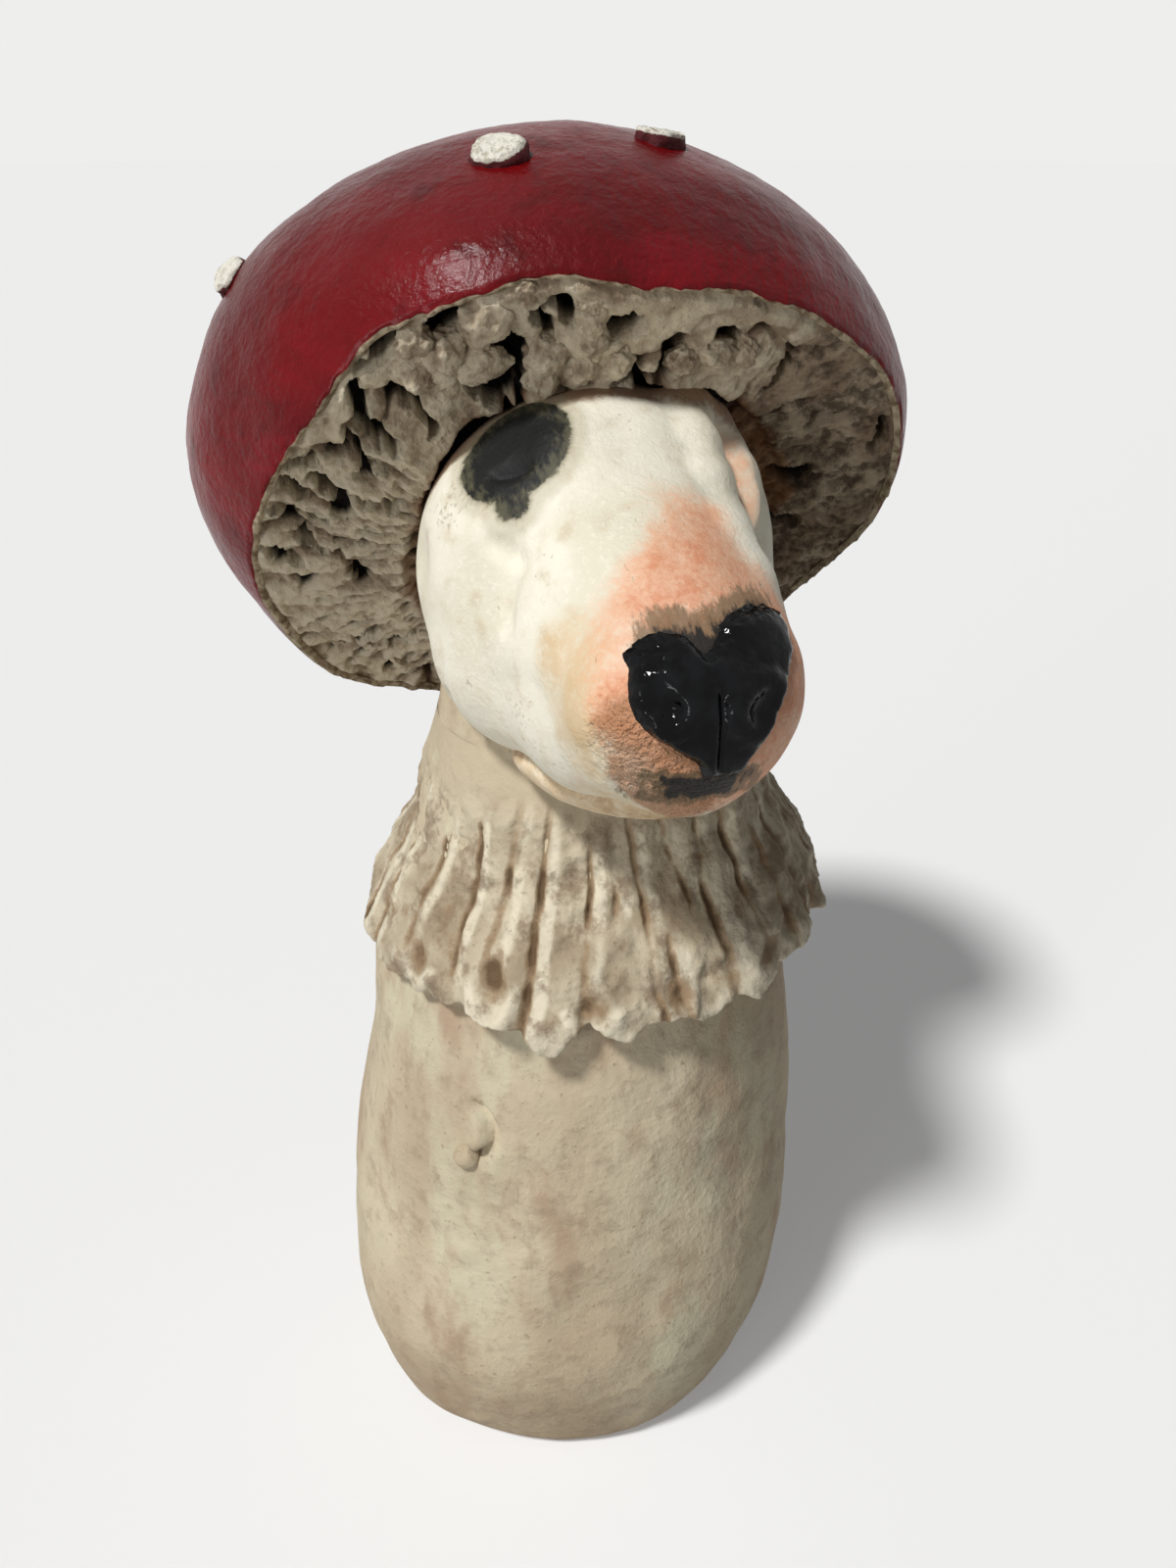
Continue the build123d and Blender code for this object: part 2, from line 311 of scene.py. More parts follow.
def cap_glaze():
    """Ox-blood glaze, satin, wrinkled like hide, brighter in streaks by the rim, with a bare clay lip."""
    material, tree, place, rim, lip = bare_material("oxblood_glaze", *CAP_CARRIES)
    broad = add(tree, "TexNoise", place, Scale=1 / 24, Detail=3)
    streaks = add(tree, "VectorMath", place, (1.0, 0.6, 2.2), operation="MULTIPLY")
    brushed = add(tree, "TexNoise", streaks, Scale=1 / 16, Detail=5, Roughness=0.62)
    dull = add(tree, "TexNoise", place, Scale=1 / 5, Detail=5, Roughness=0.6)
    hide = add(tree, "TexNoise", place, Scale=1 / 1.5, Detail=5, Roughness=0.62)
    pores = add(tree, "TexVoronoi", place, Scale=1 / 0.75, feature="SMOOTH_F1")
    tint = wash(tree, "#56060a", ("#68090e", broad, 0.36, 0.64, 1.0))
    brighter = add(tree, "Math", rim, brushed, operation="MULTIPLY")
    tint = wash(tree, tint, ("#7d0b17", brighter, 0.40, 0.72, 0.6), ("#300a0b", dull, 0.52, 0.74, 0.5))
    bare = wash(tree, "#75634f", ("#b3a58c", hide, 0.36, 0.62, 1.0))
    tint = wash(tree, tint, (bare, lip, 0.3, 0.7, 1.0))
    sheen = add(tree, "MapRange", dull, 0.3, 0.7, 0.18, 0.34)
    matte = add(tree, "Math", lip, 0.8, operation="MULTIPLY")
    gloss = add(tree, "Math", sheen, matte, operation="MAXIMUM")
    shine = add(tree, "MapRange", lip, 0.0, 0.6, 0.2, 0.0)
    glint = add(tree, "Bump", Height=hide, Distance=0.17 * MM)
    relief = [(dull, 0.28), (hide, 0.38), (pores, 0.12)]
    return fired(material, tree, tint, relief, Roughness=gloss, IOR=1.5, Specular_IOR_Level=0.03,
                 Coat_Weight=shine, Coat_Roughness=0.16, Coat_Normal=glint)


def gill_clay():
    """Torn bare clay with rust beside the head. Chalky high spots are lighter, partly as painted light; low
    flanks and the right-hand side, in the head's shade, are dark taupe as painted shade; holes, cracks and
    creases are near-black as painted shade.
    """
    material, tree, place, high, deep, rust = bare_material("torn_bare_clay", *GILL_CARRIES)
    broad = add(tree, "TexNoise", place, Scale=1 / 7, Detail=4)
    chalk = add(tree, "TexNoise", place, Scale=1 / 1.7, Detail=5, Roughness=0.68)
    grit = add(tree, "TexNoise", place, Scale=1 / 0.5, Detail=3)
    lifted = add(tree, "Math", chalk, 1.1, high, operation="MULTIPLY_ADD")
    # Lighter chalky tops are partly painted light; the dark taupe where lifted is low is painted shade; the
    # near-black where deep is high is painted shade in holes and cracks
    tint = wash(tree, "#85725e", ("#aa9a83", broad, 0.38, 0.62, 1.0),
                ("#ccc0a8", lifted, 0.9, 1.45, 0.85), ("#43362a", lifted, 0.8, 0.45, 0.85),
                ("#7a4b23", rust, 0.15, 1.0, 0.75), ("#0d0906", deep, 0.2, 0.75, 1.0))
    relief = [(chalk, 0.5), (grit, 0.14)]
    return fired(material, tree, tint, relief, Roughness=0.88, IOR=1.45, Specular_IOR_Level=0.2)


def head_slip():
    """Cream slip burnished by hand: specks, scratches, peach rubbed on the muzzle, peach-tan painted shade
    in the far eye socket, a black eye patch.
    """
    material, tree, place, *values = bare_material("cream_slip", *HEAD_CARRIES)
    carried = dict(zip(HEAD_CARRIES, values))
    broad = add(tree, "TexNoise", place, Scale=1 / 12, Detail=3)
    mottle = add(tree, "TexNoise", place, Scale=1 / 3.6, Detail=6, Roughness=0.64)
    fine = add(tree, "TexNoise", place, Scale=1 / 0.9, Detail=4, Roughness=0.7)
    specks = add(tree, "TexNoise", place, Scale=1 / 0.6, Detail=2)
    scratched = add(tree, "VectorMath", place, (2.2, 0.3, 0.8), operation="MULTIPLY")
    scratches = add(tree, "TexNoise", scratched, Scale=1 / 1.3, Detail=1, Distortion=1.5)
    ragged = add(tree, "TexNoise", place, Scale=1 / 1.5, Detail=6, Roughness=0.7)
    bristles = add(tree, "VectorMath", place, (1.6, 0.5, 0.6), operation="MULTIPLY")
    brush = add(tree, "TexNoise", bristles, Scale=1 / 1.2, Detail=4, Roughness=0.65)
    uneven = add(tree, "Math", mottle, 1.7, fine, operation="MULTIPLY_ADD")
    tint = wash(tree, "#dcd6c1", ("#e8e3d2", broad, 0.36, 0.6, 1.0),
                ("#c3b08e", mottle, 0.50, 0.72, 0.55), ("#efebdc", fine, 0.5, 0.66, 0.5))
    # The blush is rubbed peach on the muzzle and also painted as shade in the far eye socket
    rubbed = (("ochre", "#cda56b", 0.35, 1.3, 0.6), ("blush_and_socket_shade", "#e4ab86", 0.35, 1.1, 0.75),
              ("blush_and_socket_shade", "#d0794f", 0.85, 1.75, 0.65), ("grit", "#ac7b58", 0.45, 1.1, 0.8),
              ("rust", "#7c4f2a", 0.5, 1.2, 0.8))
    for name, code, low, high, most in rubbed:
        patchy = add(tree, "Math", carried[name], uneven, operation="MULTIPLY")
        tint = wash(tree, tint, (code, patchy, low, high, most))
    dirt = add(tree, "Math", specks, broad, operation="MULTIPLY")
    tint = wash(tree, tint, ("#6a543c", dirt, 0.38, 0.46, 0.35), ("#7d6a52", scratches, 0.74, 0.78, 0.35))
    patch = add(tree, "Math", ragged, 1.6, carried["patch"], operation="MULTIPLY_ADD")
    tint = wash(tree, tint, ("#b1a78d", patch, -2.0, -0.2, 0.5), ("#8a8268", patch, 0.0, 0.9, 0.6))
    thin = add(tree, "MapRange", carried["patch"], 3.6, 0.3, 0.55, 1.0)
    worn = add(tree, "Math", brush, thin, operation="MULTIPLY")
    soot = wash(tree, "#131413", ("#565341", worn, 0.34, 0.60, 0.85))
    tint = wash(tree, tint, (soot, patch, 0.6, 1.05, 1.0))
    stroke = add(tree, "Math", brush, 4.2, carried["brushed"], operation="MULTIPLY_ADD")
    tint = wash(tree, tint, ("#6a5b42", stroke, 1.6, 2.7, 0.8), ("#131211", stroke, 3.1, 4.2, 0.97))
    gritty = add(tree, "Math", specks, carried["grit"], operation="MULTIPLY")
    relief = [(gritty, 0.9), (mottle, 0.22), (fine, 0.1)]
    return fired(material, tree, tint, relief, Roughness=0.58, IOR=1.45, Specular_IOR_Level=0.3)


def nose_glaze():
    """Thick black gloss glaze, pooled with faint brush ridges."""
    material, tree, place = bare_material("black_gloss_glaze")
    pooled = add(tree, "TexNoise", place, Scale=1 / 2.6, Detail=3)
    ridges = add(tree, "TexNoise", place, Scale=1 / 0.9, Detail=3)
    tint = wash(tree, "#050506", ("#111214", pooled, 0.4, 0.7, 1.0))
    gloss = add(tree, "MapRange", pooled, 0.35, 0.7, 0.05, 0.18)
    relief = [(pooled, 0.36), (ridges, 0.05)]
    return fired(material, tree, tint, relief, Roughness=gloss, IOR=1.5, Specular_IOR_Level=0.12)


def wart_clay():
    """Chalky white torn clay on top, with the cap's red glaze run up its sides."""
    material, tree, place, top = bare_material("chalky_white_clay", "top")
    chalk = add(tree, "TexNoise", place, Scale=1 / 1.2, Detail=5, Roughness=0.65)
    torn = add(tree, "Math", chalk, 0.7, top, operation="MULTIPLY_ADD")
    white = wash(tree, "#dedacd", ("#aca592", chalk, 0.48, 0.68, 1.0))
    tint = wash(tree, "#460c11", (white, torn, 0.78, 0.92, 1.0))
    relief = [(chalk, 0.6)]
    return fired(material, tree, tint, relief, Roughness=0.72, IOR=1.45, Specular_IOR_Level=0.35)


# Values that the meshes carry for their materials
SKIRT_CARRIES = ("hollow", "ridge", "neck")
CAP_CARRIES = ("rim", "lip")
GILL_CARRIES = ("high", "deep", "rust")
HEAD_CARRIES = ("blush_and_socket_shade", "ochre", "grit", "rust", "patch", "brushed")
STEM_CLAY, SKIRT_CLAY, CAP_GLAZE, GILL_CLAY = stem_clay(), skirt_clay(), cap_glaze(), gill_clay()
HEAD_SLIP, NOSE_GLAZE, WART_CLAY = head_slip(), nose_glaze(), wart_clay()


# Stem

# The stem's points lie closer round this angle, which faces the camera
FRONT, FRONT_PACKING = radians(252), 0.42

# Shares of the way from the foot's middle to the top: ends of the recess's roof, its wall and the ring
ROOF_END, WALL_END, RING_END = 0.05, 0.08, 0.12
RECESS_RADIUS, RECESS_HEIGHT, RING_RADIUS, RING_WIDTH, DRESSED_TOP = 24.9, 7.5, 25.4, 4.6, 149.0

# The nail mark and the pip: angle and height, how proud the pip sits, and their radii
NAIL_DISC, NAIL_DISC_RADIUS = (224.6, 72.0), 3.35
PIP_SEAT, PIP_RADIUS = (225, 67.2, -0.3), 2.0

# Finger marks on the stem: angle, height, radius and how far the clay is pushed out
STEM_DABS = [(200, 10, 34, 2.4), (226, 58, 3.0, -0.5), (245, 93, 6, 0.4), (240, 66, 5, -0.5),
             (228, 8, 3, 0.7), (262, 40, 14, -0.6), (205, 48, 12, -0.7), (300, 62, 16, -0.8),
             (170, 70, 18, -0.9), (40, 55, 20, -0.9), (110, 30, 18, 0.8), (225, 49, 3.2, 0.5)]


def on_stem(angle, height, proud=0.0):
    """A point on the leaning stem at an angle in degrees and a height."""
    radius = stem_radius(height) + proud
    return Vector((radius * cos(radians(angle)) + STEM_LEAN * height, radius * sin(radians(angle)), height))


STEM_MARKS = [(on_stem(angle, height), wide, deep) for angle, height, wide, deep in STEM_DABS]
NAIL_MIDDLE = on_stem(*NAIL_DISC)
NAIL_RIGHT = Vector((-sin(radians(NAIL_DISC[0])), cos(radians(NAIL_DISC[0])), 0))


def nail_mark(point):
    """A flat dab of clay with a crisp crescent edge on its right, left by a thumb nail."""
    gap = point - NAIL_MIDDLE
    reach, right = gap.length, gap.dot(NAIL_RIGHT)
    if reach > 2 * NAIL_DISC_RADIUS:
        return 0.0
    dome = (1 - smooth(NAIL_DISC_RADIUS - 0.3, NAIL_DISC_RADIUS + 0.2, reach)) * smooth(0.2, 3.2, right)
    brim = dab(abs(reach - NAIL_DISC_RADIUS + 0.5), 1.2)
    groove = dab(abs(reach - NAIL_DISC_RADIUS - 0.9), 1.2)
    return 0.9 * dome + 0.9 * (brim - 1.7 * groove) * smooth(0.2, 1.6, right)


def stem_point(around, share):
    """Foot recess, foot ring, then the outside up to the closed top."""
    turn = around + FRONT_PACKING * sin(around - FRONT)
    if share < ROOF_END:
        radius, height = RECESS_RADIUS * share / ROOF_END, RECESS_HEIGHT
    elif share < WALL_END:
        fallen = (share - ROOF_END) / (WALL_END - ROOF_END)
        radius, height = RECESS_RADIUS, RECESS_HEIGHT - 7.0 * fallen
    elif share < RING_END:
        radius, height = RING_RADIUS + RING_WIDTH * (share - WALL_END) / (RING_END - WALL_END), 0.0
    else:
        height = DRESSED_TOP * ((share - RING_END) / (1 - RING_END)) ** 0.93
        radius = stem_radius(height) - 1.2 * (1 - smooth(0, 3.0, height))
    out = Vector((cos(turn), sin(turn), 0))
    point = out * radius + Vector((STEM_LEAN * height, 0, height))
    if share >= RING_END:
        push = 0.9 * grain(point, 34, 3) + 0.5 * grain(point, 12, 8) + 0.22 * grain(point, 5, 5)
        push += nail_mark(point)
        for middle, wide, deep in STEM_MARKS:
            push += deep * dab((point - middle).length, wide)
        point += out * push * smooth(0, 6, height)
    # Darker towards the bottom, and darkest in a thin band along the base
    low = 1 - smooth(0, 42, height + 9 * grain(point, 13, 6))
    lowest = 1 - smooth(0, 5, height + 2 * grain(point, 6, 2))
    return point, 0.5 * low + 0.5 * lowest


def build_stem():
    make_piece(ball(340, 262, ["foot"], stem_point), "stem", STEM_CLAY, "stem_clay", "stem_wall")


def build_pip():
    """A crumb of clay left on the stem below the nail mark."""
    seat = on_stem(*PIP_SEAT)
    pip = pellet(4, [], lambda way: (seat + way * PIP_RADIUS * (1 + 0.14 * grain(way, 0.8, 4)),))
    make_piece(pip, "pip", STEM_CLAY, "stem_clay", "stem_pip")


# Skirt

# The collar's radius at heights from its hem to the neck
SKIRT_SIDE = [(92.5, 35.9), (96, 35.3), (100, 33.9), (104, 31.4), (108, 28.4), (113, 26.0), (120, 24.0),
              (127.5, 21.6)]
SKIRT_TURN = Matrix.Rotation(radians(VIEW_TURN), 4, "Z")
SKIRT_PIVOT = Matrix.Translation((0, 0, 122))
SKIRT_TILT = (SKIRT_PIVOT @ SKIRT_TURN @ Matrix.Rotation(radians(-SKIRT_LEAN), 4, "Y")
              @ SKIRT_TURN.inverted() @ SKIRT_PIVOT.inverted())

# Shares of the way round the section: ends of the outside and of the hem's thickness
OUTSIDE_END, HEM_END = 0.74, 0.84

# Grooves between the pleats: angle at the top and at the hem, height of both ends, width and depth
SKIRT_GROOVES = [(203, 199, 118, 99, 0.9, 0.6), (216.6, 216.0, 122, 98, 0.8, 1.2),
                 (229, 226, 122, 102, 1.1, 1.5), (239.5, 235.5, 123, 92, 0.9, 1.3),
                 (253, 248, 119, 91, 0.8, 1.4), (258.5, 258, 114, 108, 0.9, 0.9),
                 (264.4, 267.5, 122, 91, 0.9, 1.4), (271, 274, 104, 91, 0.8, 1.1),
                 (273, 280, 121, 108, 0.9, 0.9), (286, 284.5, 118, 96, 1.1, 1.2)]
GROOVE_DEPTH = 0.52
groove_luck = random.Random(11)
groove_turn = 297.0
while groove_turn < 550:
    groove_hem = groove_turn + groove_luck.uniform(-4, 4)
    groove_ends = groove_luck.uniform(108, 123), groove_luck.uniform(89, 99)
    groove_size = groove_luck.uniform(0.7, 1.2), groove_luck.uniform(0.7, 1.5)
    SKIRT_GROOVES.append((groove_turn, groove_hem, *groove_ends, *groove_size))
    groove_turn += groove_luck.uniform(8, 15)

# Hollows like spoons pressed in the hem: angle, height, half width, half height and depth
SPOONS = [(228.5, 99.5, 3.0, 4.4, 2.2), (251.5, 97.2, 3.0, 2.4, 1.2), (270.5, 97.5, 2.2, 3.0, 0.9),
          (205, 98.5, 3.0, 2.6, 0.8), (297, 97.5, 3.2, 3.0, 1.4), (322, 97.0, 3.0, 3.4, 1.5),
          (358, 98.0, 3.2, 3.6, 1.5), (40, 97.0, 3.0, 3.0, 1.2), (85, 98.0, 3.4, 4.0, 1.7),
          (118, 97.0, 2.8, 3.0, 1.2), (150, 98.0, 3.2, 3.8, 1.6)]

# Tongues of the hem: angle, half width in degrees and how far they hang down
HEM_TONGUES = [(242, 8, 3.2), (259, 6, 1.6), (221, 7, -1.2), (277, 6, 1.3), (292, 7, 1.6), (318, 9, -1.5),
               (345, 8, 1.8), (20, 9, -1.6), (55, 8, 1.7), (100, 9, 1.6), (135, 8, -1.4), (170, 9, 1.4)]


def hem_height(side, circle):
    """The height of the ragged hem at an angle in degrees."""
    height = SKIRT_HEM + 2.4 + 0.9 * grain(circle * 5, 1, 4) + 0.45 * rough(circle * 18, 1, 6)
    for middle, wide, hang in HEM_TONGUES:
        height -= hang * dab(abs(angle_past(side, middle)), wide)
    return height


def skirt_relief(side, height, spot):
    """How far the collar's skin is pushed out at a place, and how much of a hollow and a ridge it is: the
    hollow is painted darker, with the wash and as shade, the ridge paler, as wiped wash and painted
    highlight.
    """
    push = hollow = ridge = 0.0
    bent = side + 1.6 * grain(spot, 9, 5) + 0.5 * grain(spot, 3, 8)
    for top, hem, start, end, wide, deep in SKIRT_GROOVES:
        share = min(1.0, max(0.0, (start - height) / (start - end)))
        off = 0.54 * angle_past(bent, top + (hem - top) * share)
        if abs(off) < 5.3 * wide:
            fade = smooth(start + 2, start - 4, height) * smooth(end - 3, end + 1, height)
            fade *= 0.35 + 0.65 * smooth(-0.3, 0.3, grain(spot, 6.5, 2 + top))
            pleat = 0.5 * dab(abs(off - 2.6 * wide), 2.6 * wide)
            push += GROOVE_DEPTH * fade * deep * (pleat - dab(abs(off), 0.8 * wide))
            # A groove's floor is marked hollow and painted darker as shade; the pleat's slope on its right,
            # facing the light, is marked ridge and painted paler as highlight
            hollow = max(hollow, 0.8 * fade * dab(abs(off), 1.1 * wide))
            ridge = max(ridge, fade * dab(abs(off - 1.9 * wide), 1.6 * wide))
    for middle, high, wide, tall, deep in SPOONS:
        across, up = 0.6 * angle_past(side, middle) / wide, (height - high) / tall
        reach = sqrt(across * across + up * up)
        if reach < 1.6:
            # The scoop's lower lip, facing up, is marked ridge and painted paler as highlight; its bowl is
            # marked hollow and painted darker as shade
            brim = dab(abs(reach - 1.15), 0.5) * smooth(0.4, -0.5, up)
            push += 0.6 * brim - 0.6 * deep * dab(reach, 1.05)
            hollow = max(hollow, 0.6 * dab(reach, 1.1))
            ridge = max(ridge, brim)
    return push, hollow, ridge


def skirt_point(turn, share):
    """Outside from neck to hem, round the thick hem, and back up inside to the stem."""
    down = min(1.0, share / OUTSIDE_END)
    if share > HEM_END:
        down = 1 - 0.9 * (share - HEM_END) / (1 - HEM_END)
    circle, side = Vector((cos(turn), sin(turn), 0)), degrees(turn)
    height = SKIRT_TOP + (hem_height(side, circle) - SKIRT_TOP) * down
    radius = along(SKIRT_SIDE, height) - 0.9 * smooth(0.6, 1.0, down)
    spot = circle * radius + Vector((0, 0, height))
    push, hollow, ridge = skirt_relief(side, height, spot)
    push += 0.9 * grain(spot, 11, 7) + 0.8 * grain(spot, 4.5, 3) + 0.4 * rough(spot, 2.2, 3)
    push += 1.5 * smooth(0.78, 1.0, down) * (0.55 + 0.8 * grain(circle * 8, 1, 9))
    radius += push * smooth(0.05, 0.3, down)
    radius -= smooth(OUTSIDE_END, HEM_END, share) * (0.8 + 1.6 * smooth(0.2, 1.0, down))
    if share > HEM_END:
        radius = min(radius - 0.8, along(SKIRT_SIDE, height) - 2.6)
    height -= 1.2 * sin(pi * smooth(0.70, 0.86, share))
    point = SKIRT_TILT @ Vector((circle.x * radius, circle.y * radius, height))
    point.x += STEM_LEAN * point.z
    # Pushed-in places near the hem are painted darker as shade; pushed-out ones paler, as wiped wash and
    # painted highlight
    hollow += 0.35 * smooth(0.5, 0.9, down) * smooth(0.0, -0.9, push)
    ridge = max(ridge, 0.6 * smooth(0.3, 1.6, push))
    return point, hollow, ridge, smooth(0.34, 0.1, down)


def build_skirt():
    skirt = ring(720, 122, SKIRT_CARRIES, skirt_point)
    make_piece(skirt, "skirt", SKIRT_CLAY, "skirt_clay", "ring_skirt")


# Cap

# Reach from the middle of the mouth at which the gills start and end
GILL_CENTRE, GILL_EDGE = 19.0, 42.0

# Where the rim strays: angle round the mouth, width in degrees and how far outward
RIM_DENTS = [(345, 24, 1.7), (250, 22, 0.9), (205, 26, -1.0), (139, 14, 1.8), (25, 16, -1.8),
             (115, 12, -1.5)]
LIP = 1.2

# Shares of the way from inside the dome to its top: ends of the lining and of the lip
LINING_END, LIP_END = 0.14, 0.22
RIM_FRONT = -95
CAP_DENT = Vector((-43.0, 22.0, 128.0))

# How far the rim is cut up into the dome, at angles round the mouth
RIM_LIFT = [(-150, 0.0), (-141, 0.3), (-134, 1.6), (-127, 2.1), (-119, 1.6), (-110, 1.3), (-102, 1.8),
            (-94, 0.9), (-85, 0.1), (-76, 0.8), (-66, 1.5), (-58, 1.9), (-48, 2.2), (-35, 2.6),
            (-20, 1.5), (0, 0.0)]


def rim_angle(turn):
    """The angle by which the rim lies above the mouth's plane, at an angle in radians round it."""
    return along(RIM_LIFT, angle_past(degrees(turn), 0)) / GILL_EDGE


def rim_wave(turn):
    """How far the hand-cut rim strays outward at an angle in degrees round the mouth."""
    wave = 0.3 * grain(Vector((cos(radians(turn)), sin(radians(turn)), 0)) * 5, 1, 3)
    for middle, wide, amount in RIM_DENTS:
        wave += amount * dab(abs(angle_past(turn, middle)), 1.6 * wide)
    return wave


def mouth_way(turn, lift):
    """A direction from the middle of the mouth, an angle round it and a lift into the cap."""
    return MOUTH_AXES @ Vector((cos(turn) * cos(lift), sin(turn) * cos(lift), sin(lift)))


def cap_point(turn, share):
    """Inside of the dome, over the thin lip, and the outside up to its top."""
    low, roll = rim_angle(turn), 1.0
    if share < LINING_END:
        lift, roll = low + (radians(88) - low) * (1 - share / LINING_END), 0.0
        inset = LIP + (CAP_WALL - LIP) * smooth(0, radians(20), lift - low)
    elif share < LIP_END:
        lift, roll = low, (share - LINING_END) / (LIP_END - LINING_END)
        inset = LIP * (1 - roll)
    else:
        climbed = (share - LIP_END) / (1 - LIP_END)
        lift, inset = low + (radians(90) - low) * climbed ** 1.05, 0.0
    way = mouth_way(turn, lift)
    point = MOUTH_MIDDLE + way * to_cap(MOUTH_MIDDLE, way, inset)
    point += mouth_way(turn, 0) * rim_wave(degrees(turn)) * (1 - smooth(0, radians(24), lift - low))
    point -= MOUTH_IN * sin(pi * roll) * (0.5 + 0.7 * rough(point, 2.0, 3))
    if share >= LIP_END:
        push = 0.75 * grain(point, 26, 2) + 0.3 * grain(point, 10, 6) + 0.09 * rough(point, 3.2, 4)
        push -= 0.8 * dab((point - CAP_DENT).length, 6.0)
        point += cap_normal(point) * push * smooth(LIP_END, 0.3, share)
    off_front = abs(angle_past(degrees(turn), RIM_FRONT))
    edge = 0.19 + 0.045 * smooth(85, 115, off_front) + 0.016 * grain(point, 3, 2)
    lip = smooth(edge + 0.015, edge - 0.015, share)
    return point, 1 - smooth(6, 24, (MOUTH_BACK @ point).z), lip


def build_cap():
    make_piece(ball(430, 200, CAP_CARRIES, cap_point), "cap", CAP_GLAZE, "cap_glaze", "cap_dome")


# Gills

# Where the clay meets the head: angle round the mouth and reach from its middle
HEAD_EDGE = [(-180, 22.3), (-168, 22.3), (-142, 23.8), (-128, 24.8), (-112, 25.1), (-94, 23.9),
             (-80, 25.2), (-66, 27.1), (-54, 27.5), (-29, 26.6), (1, 28.2), (60, 25.0), (120, 23.0),
             (180, 22.3)]

# Torn holes: angle and reach where a tear starts, the same where it ends, and half its width
TEARS = [(-113.5, 40.4, -120, 39.2, 1.2), (-102.7, 40.0, -103, 36.8, 0.55),
         (-103, 36.8, -101, 34.7, 0.45), (-99.7, 38.9, -97.6, 37.5, 0.9),
         (-91.1, 35.3, -86.8, 36.8, 1.35), (-76.6, 34.7, -75.3, 29.2, 0.95),
         (-66.8, 36.5, -65.5, 35.4, 1.1), (-108.9, 34.5, -109.9, 30.5, 1.2),
         (-117.1, 31, -113.9, 27.6, 1.3), (-128.5, 40.8, -124.7, 40.8, 0.8),
         (-71, 32.6, -70.2, 32.0, 0.7), (-86.1, 28.4, -76.6, 29.2, 0.6), (-141, 37.5, -141.3, 32.5, 0.95),
         (-156, 36.8, -158.7, 33.5, 0.9), (-159.5, 40.9, -161.5, 38, 0.85),
         (-166.8, 40.1, -167.5, 34.9, 0.6), (-136.1, 39.6, -138.3, 37.3, 0.65),
         (-133.1, 40.6, -129, 40.2, 0.55), (-173.1, 37.4, -177.2, 31.8, 0.5),
         (147.4, 35.2, 148.8, 31.3, 0.55), (142.6, 33, 142.7, 27.7, 0.65),
         (-158.1, 32.3, -155.5, 26.6, 0.45), (-177.2, 40.6, 178.6, 36.7, 0.5),
         (-154.4, 40.8, -152.8, 38.4, 0.7), (-147, 36.0, -149, 30.5, 0.4), (-131, 33.6, -134, 28.2, 0.5),
         (-22, 40.6, -18, 39.4, 0.8), (-11, 31, -12, 28.6, 1.2), (4, 31.5, 5, 28.6, 1.0),
         (-36, 34, -38, 30, 0.4), (-50, 36, -48, 32, 0.45), (-28, 37, -29, 32.5, 0.4)]
tear_luck = random.Random(7)
for tear_turn in range(16, 140, 9):
    tear_reach = tear_luck.uniform(30, 39)
    tear_end = tear_turn + tear_luck.uniform(-2, 2), tear_reach - tear_luck.uniform(3, 7)
    TEARS.append((tear_turn, tear_reach, *tear_end, tear_luck.uniform(0.4, 0.8)))

# Pellets pressed into the front: angle, reach and radius
CRUMBS = [(-110.8, 38.6, 2.7), (-104, 40.2, 1.9), (-94, 39.0, 2.0), (-93.5, 36.4, 2.2),
          (-93.2, 33.6, 2.2), (-102.7, 31.6, 3.0), (-115, 33.2, 2.5), (-119.8, 36.2, 2.4),
          (-95.2, 30.0, 2.3), (-104.5, 28.6, 2.4), (-72.6, 31.6, 2.1), (-65.6, 33.2, 2.4),
          (-123.4, 38.8, 2.2), (-87.5, 31.2, 2.0), (-127, 35.0, 2.3), (-60, 34.6, 2.0)]

# Angles round the mouth: the crumbly front, the smoother right side and the plain band along the rim
GILL_FRONT, GILL_RIGHT, GILL_BAND = -97, -2, -80

# Shares of the way round the section: ends of the torn face, the edge behind the lip and the back
FACE_END, EDGE_END, BACK_END = 0.86, 0.9, 0.96
BACK_DEPTH = 11.0


def gill_spot(turn, reach):
    """A flat place in the mouth at an angle in degrees and a reach."""
    return Vector((reach * cos(radians(turn)), reach * sin(radians(turn)), 0))


TEAR_LINES = [(a, gill_spot(a, b), gill_spot(c, d), wide) for a, b, c, d, wide in TEARS]


def torn_open(turn, spot):
    """How open the clay is torn at a place: 1 in a hole."""
    ragged = spot + Vector((grain(spot, 2.2, 1), grain(spot, 2.2, 2), 0))
    ragged += 0.4 * Vector((grain(spot, 0.9, 3), grain(spot, 0.9, 4), 0))
    hole = 0.0
    for middle, start, end, wide in TEAR_LINES:
        if abs(angle_past(turn, middle)) < 14:
            hole = max(hole, 1 - smooth(1.1 * wide, 1.6 * wide, near_line(ragged, start, end)))
    return hole


